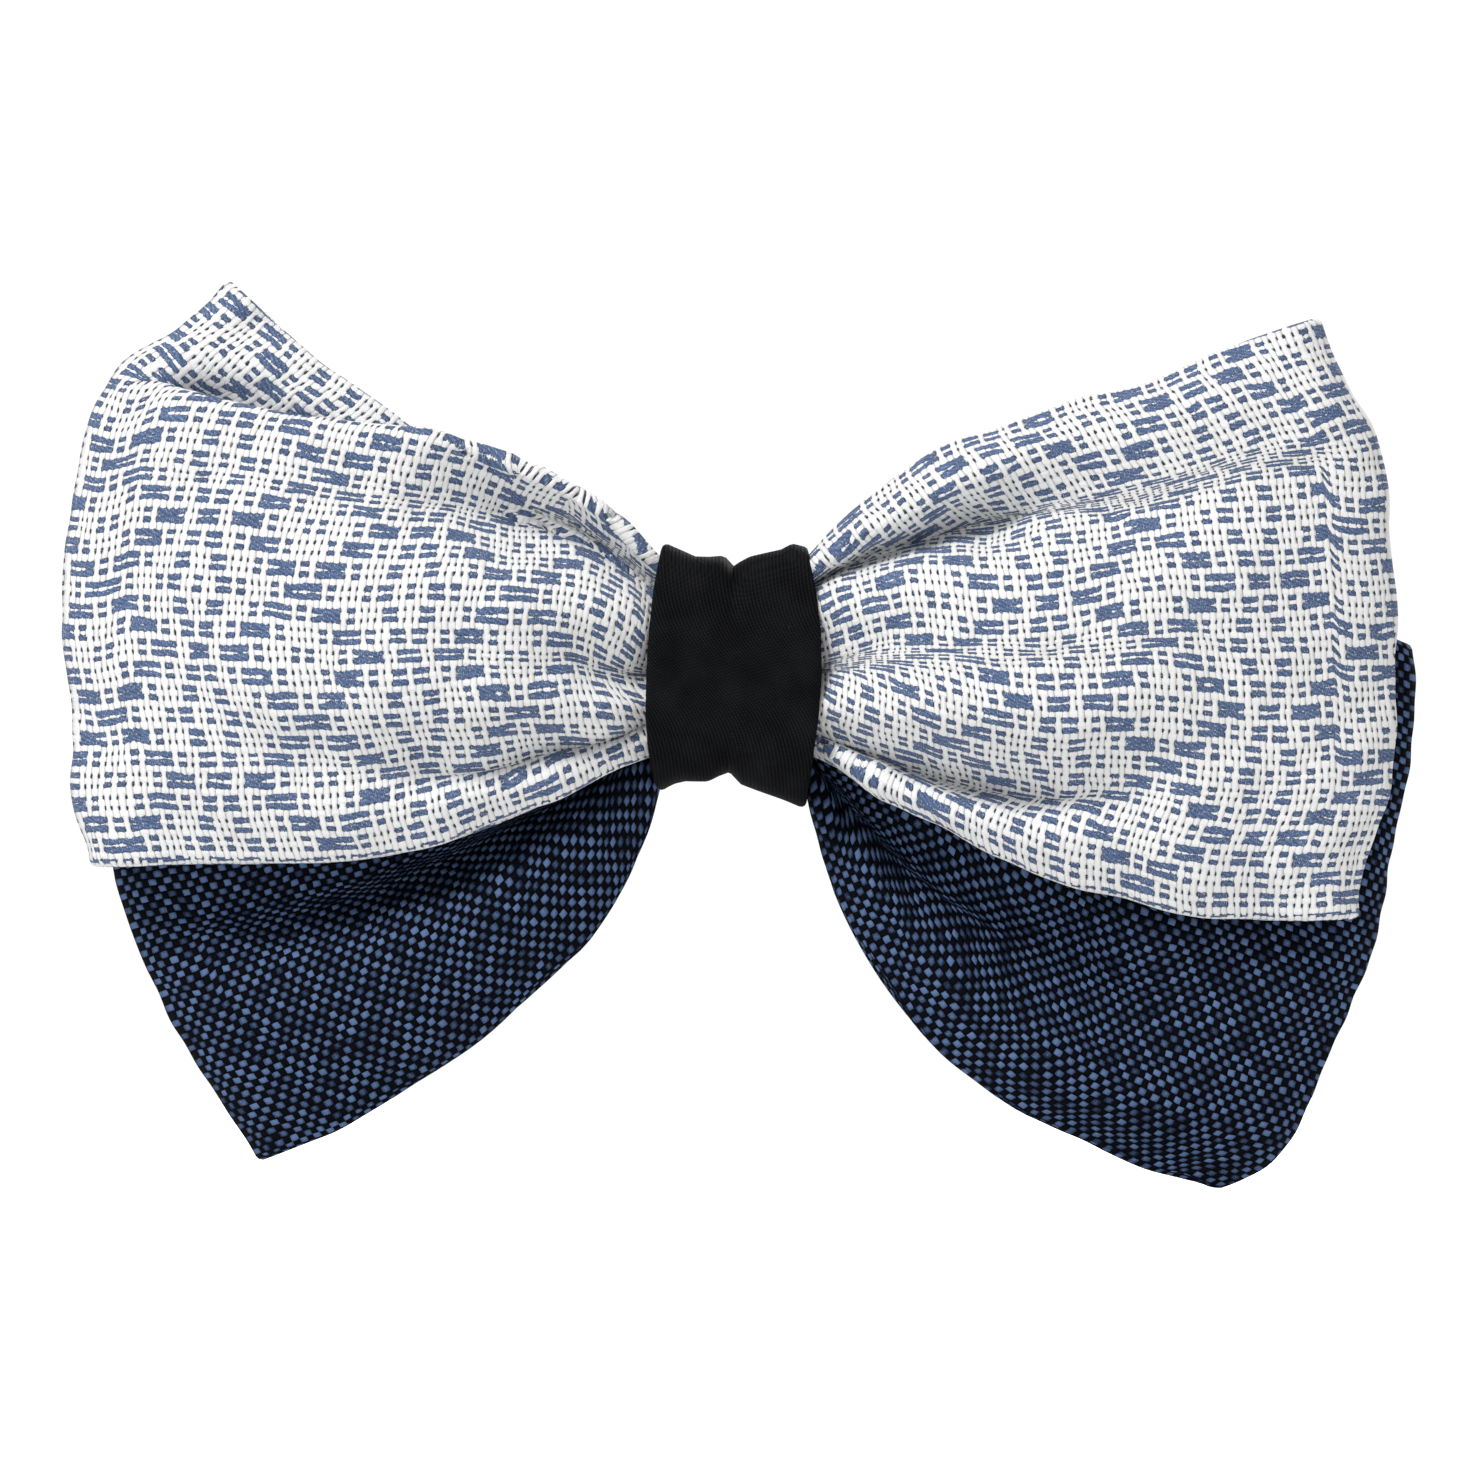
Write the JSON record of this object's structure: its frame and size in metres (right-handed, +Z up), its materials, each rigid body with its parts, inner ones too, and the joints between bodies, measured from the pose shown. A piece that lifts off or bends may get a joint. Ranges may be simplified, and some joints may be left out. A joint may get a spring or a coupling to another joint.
{
  "type": "bow tie",
  "caption": "Ready-tied double bow tie: a patterned bow over a drooping dark bow, both gathered under a plain knot band, with a sprung steel collar clip on its back.",
  "frame": {"origin": "middle of the raised pad on the rear of the collar clip, which bears on the collar at the knot's height", "axes": "+X to the right seen from the front, along the bow; +Y backwards into the collar, so the bow's front faces -Y; +Z up as worn"},
  "size_m": [0.1498, 0.0308, 0.0994],
  "materials": {
    "overshot_cloth": "white and blue overshot weave, matte cotton",
    "navy_cloth": "black and blue plain weave, matte cotton",
    "interlining": "stiff unbleached interlining",
    "black_twill": "fine black twill with a soft sheen",
    "white_thread": "waxed white sewing thread",
    "black_thread": "black sewing thread",
    "nickel_steel": "bright nickel-plated spring steel",
    "spring_steel": "oiled spring wire"
  },
  "bodies": {
    "bow": {"front_bow": "overshot_cloth", "back_bow": "navy_cloth", "front_bow_interlining": "interlining", "back_bow_interlining": "interlining", "front_gather_thread": "white_thread", "back_gather_thread": "black_thread", "knot_band": "black_twill", "band_seam_thread": "black_thread", "clip_plate": "nickel_steel", "clip_stitch_upper": "black_thread", "clip_stitch_lower": "black_thread", "left_pivot_pin": "nickel_steel", "right_pivot_pin": "nickel_steel", "left_spring": "spring_steel", "right_spring": "spring_steel"},
    "left_jaw": {"left_jaw": "nickel_steel"},
    "right_jaw": {"right_jaw": "nickel_steel"}
  },
  "joints": [
    {"name": "left_jaw_hinge", "type": "hinge", "parent": "bow", "child": "left_jaw", "pos_m": [-0.0075, 0.0019, 0], "axis": [0, 0, -1], "range_deg": [0, 28], "stiffness_Nm_per_rad": 0.02, "springref_deg": -34.38},
    {"name": "right_jaw_hinge", "type": "hinge", "parent": "bow", "child": "right_jaw", "pos_m": [0.0075, 0.0019, 0], "axis": [0, 0, 1], "range_deg": [0, 28], "stiffness_Nm_per_rad": 0.02, "springref_deg": -34.38}
  ]
}
